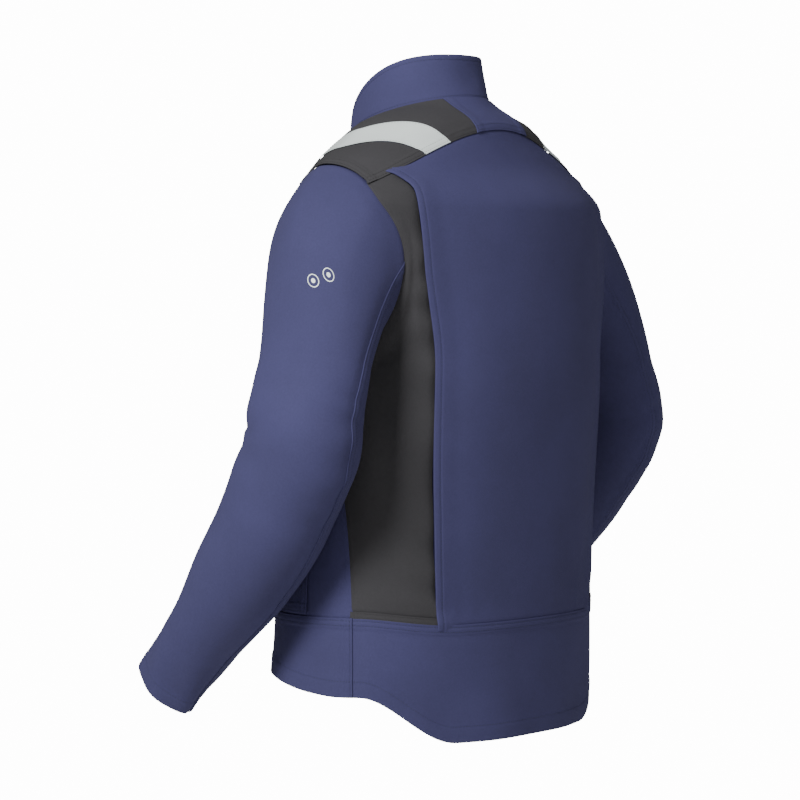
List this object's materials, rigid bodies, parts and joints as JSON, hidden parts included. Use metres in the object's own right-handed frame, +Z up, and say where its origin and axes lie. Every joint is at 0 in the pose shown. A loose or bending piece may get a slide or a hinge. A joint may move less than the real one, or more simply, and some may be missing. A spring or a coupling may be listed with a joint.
{
  "type": "welding jacket",
  "caption": "Flame-retardant work jacket with stand collar, contrast side-back panels, drop-tail hem, reflective shoulder stripes and a covered front zip.",
  "frame": {"origin": "under the middle of the hang loop at the back of the neck, where a hook carries the jacket", "axes": "+Z up, the front faces -Y and the wearer's left side is +X"},
  "size_m": [0.7214, 0.3972, 0.8188],
  "materials": {
    "navy_twill": "matt navy flame-retardant cotton-blend twill",
    "charcoal_twill": "matt charcoal flame-retardant cotton-blend twill",
    "reflective_tape": "silver glass-bead reflective tape, satin",
    "navy_tape": "woven zip and loop tape",
    "zip_metal": "blackened brass, satin",
    "stud_metal": "blackened brass press studs, satin"
  },
  "bodies": {
    "jacket_body": {"back_panel": "navy_twill", "back_hem_panel": "navy_twill", "back_neck_yoke": "navy_twill", "collar": "navy_twill", "collar_lining": "navy_twill", "hang_loop": "navy_tape", "zip_chain": "zip_metal", "zip_box": "zip_metal", "chest_pocket": "navy_twill", "flap_stud_post_1": "stud_metal", "flap_stud_post_2": "stud_metal", "flap_stud_post_3": "stud_metal", "flap_stud_post_4": "stud_metal", "left_side_back_panel": "charcoal_twill", "left_waist_binding": "charcoal_twill", "left_front_panel": "navy_twill", "left_front_hem_panel": "navy_twill", "left_reflective_stripe": "reflective_tape", "left_outer_shoulder_yoke": "charcoal_twill", "left_inner_shoulder_yoke": "charcoal_twill", "left_hand_pocket": "navy_twill", "left_zip_tape": "navy_tape", "left_sleeve_head": "navy_twill", "right_side_back_panel": "charcoal_twill", "right_waist_binding": "charcoal_twill", "right_front_panel": "navy_twill", "right_front_hem_panel": "navy_twill", "right_reflective_stripe": "reflective_tape", "right_outer_shoulder_yoke": "charcoal_twill", "right_inner_shoulder_yoke": "charcoal_twill", "right_hand_pocket": "navy_twill", "right_zip_tape": "navy_tape", "right_sleeve_head": "navy_twill"},
    "left_upper_sleeve": {"left_upper_top_sleeve": "navy_twill", "left_upper_under_sleeve": "navy_twill", "left_elbow": "navy_twill"},
    "left_lower_sleeve": {"left_lower_top_sleeve": "navy_twill", "left_lower_under_sleeve": "navy_twill", "left_cuff_hem": "navy_twill"},
    "right_upper_sleeve": {"right_upper_top_sleeve": "navy_twill", "right_upper_under_sleeve": "navy_twill", "right_elbow": "navy_twill"},
    "right_lower_sleeve": {"right_lower_top_sleeve": "navy_twill", "right_lower_under_sleeve": "navy_twill", "right_cuff_hem": "navy_twill"},
    "zip_slider": {"zip_slider": "zip_metal", "zip_slider_back": "zip_metal", "zip_pull": "zip_metal"},
    "storm_flap": {"storm_flap": "navy_twill", "flap_stud_cap_1": "stud_metal", "flap_stud_cap_2": "stud_metal", "flap_stud_cap_3": "stud_metal", "flap_stud_cap_4": "stud_metal"},
    "chest_flap": {"chest_pocket_flap": "navy_twill"}
  },
  "joints": [
    {"name": "left_shoulder", "type": "hinge", "parent": "jacket_body", "child": "left_upper_sleeve", "pos_m": [0.205, -0.0436, -0.149], "axis": [0, -1, 0], "range_deg": [0, 70], "deforming": ["left_sleeve_head"]},
    {"name": "left_elbow_bend", "type": "hinge", "parent": "left_upper_sleeve", "child": "left_lower_sleeve", "pos_m": [0.301, -0.0616, -0.417], "axis": [-1, 0, 0], "range_deg": [0, 80], "deforming": ["left_elbow"]},
    {"name": "right_shoulder", "type": "hinge", "parent": "jacket_body", "child": "right_upper_sleeve", "pos_m": [-0.205, -0.0436, -0.149], "axis": [0, 1, 0], "range_deg": [0, 70], "deforming": ["right_sleeve_head"]},
    {"name": "right_elbow_bend", "type": "hinge", "parent": "right_upper_sleeve", "child": "right_lower_sleeve", "pos_m": [-0.301, -0.0616, -0.417], "axis": [-1, 0, 0], "range_deg": [0, 80], "deforming": ["right_elbow"]},
    {"name": "zip_slide", "type": "slide", "parent": "jacket_body", "child": "zip_slider", "axis": [0, -0.0688, -0.9976], "range_m": [0, 0.62]},
    {"name": "storm_flap_hinge", "type": "hinge", "parent": "jacket_body", "child": "storm_flap", "pos_m": [0.026, -0.19246, -0.38978], "axis": [0, 0.0688, 0.9976], "range_deg": [0, 150]},
    {"name": "chest_flap_hinge", "type": "hinge", "parent": "jacket_body", "child": "chest_flap", "pos_m": [0.1151, -0.1701, -0.237], "axis": [-0.966, -0.2585, 0], "range_deg": [0, 110]}
  ]
}
